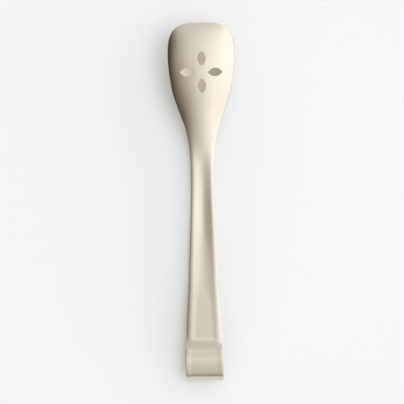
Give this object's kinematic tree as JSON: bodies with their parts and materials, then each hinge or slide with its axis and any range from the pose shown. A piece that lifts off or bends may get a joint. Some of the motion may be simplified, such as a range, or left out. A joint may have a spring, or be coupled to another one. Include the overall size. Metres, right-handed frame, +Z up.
{
  "type": "serving tongs",
  "caption": "Sprung serving tongs with two spoon-shaped heads, one pierced with petal slots, on channelled arms joined by a round spring bow.",
  "frame": {"origin": "centre of the bounding box on the table, under the tongs", "axes": "+X across the arms, +Y towards the heads, +Z up from the table"},
  "size_m": [0.045, 0.2518, 0.069],
  "materials": {
    "champagne_sheet": "stainless sheet with a matt champagne coating",
    "champagne_spring": "spring steel strip with a matt champagne coating",
    "champagne_stud": "steel weld stud, headed over, same coating"
  },
  "bodies": {
    "lower": {"plain_arm": "champagne_sheet", "spring_bow": "champagne_spring", "plain_arm_studs": "champagne_stud"},
    "upper": {"slotted_arm": "champagne_sheet", "slotted_arm_studs": "champagne_stud"}
  },
  "joints": [
    {"name": "squeeze", "type": "hinge", "parent": "lower", "child": "upper", "pos_m": [0, -0.11252, 0.01469], "axis": [-1, 0, 0], "range_deg": [0, 12.05], "stiffness_Nm_per_rad": 2.4, "springref_deg": -3.44, "deforming": ["spring_bow"]}
  ]
}
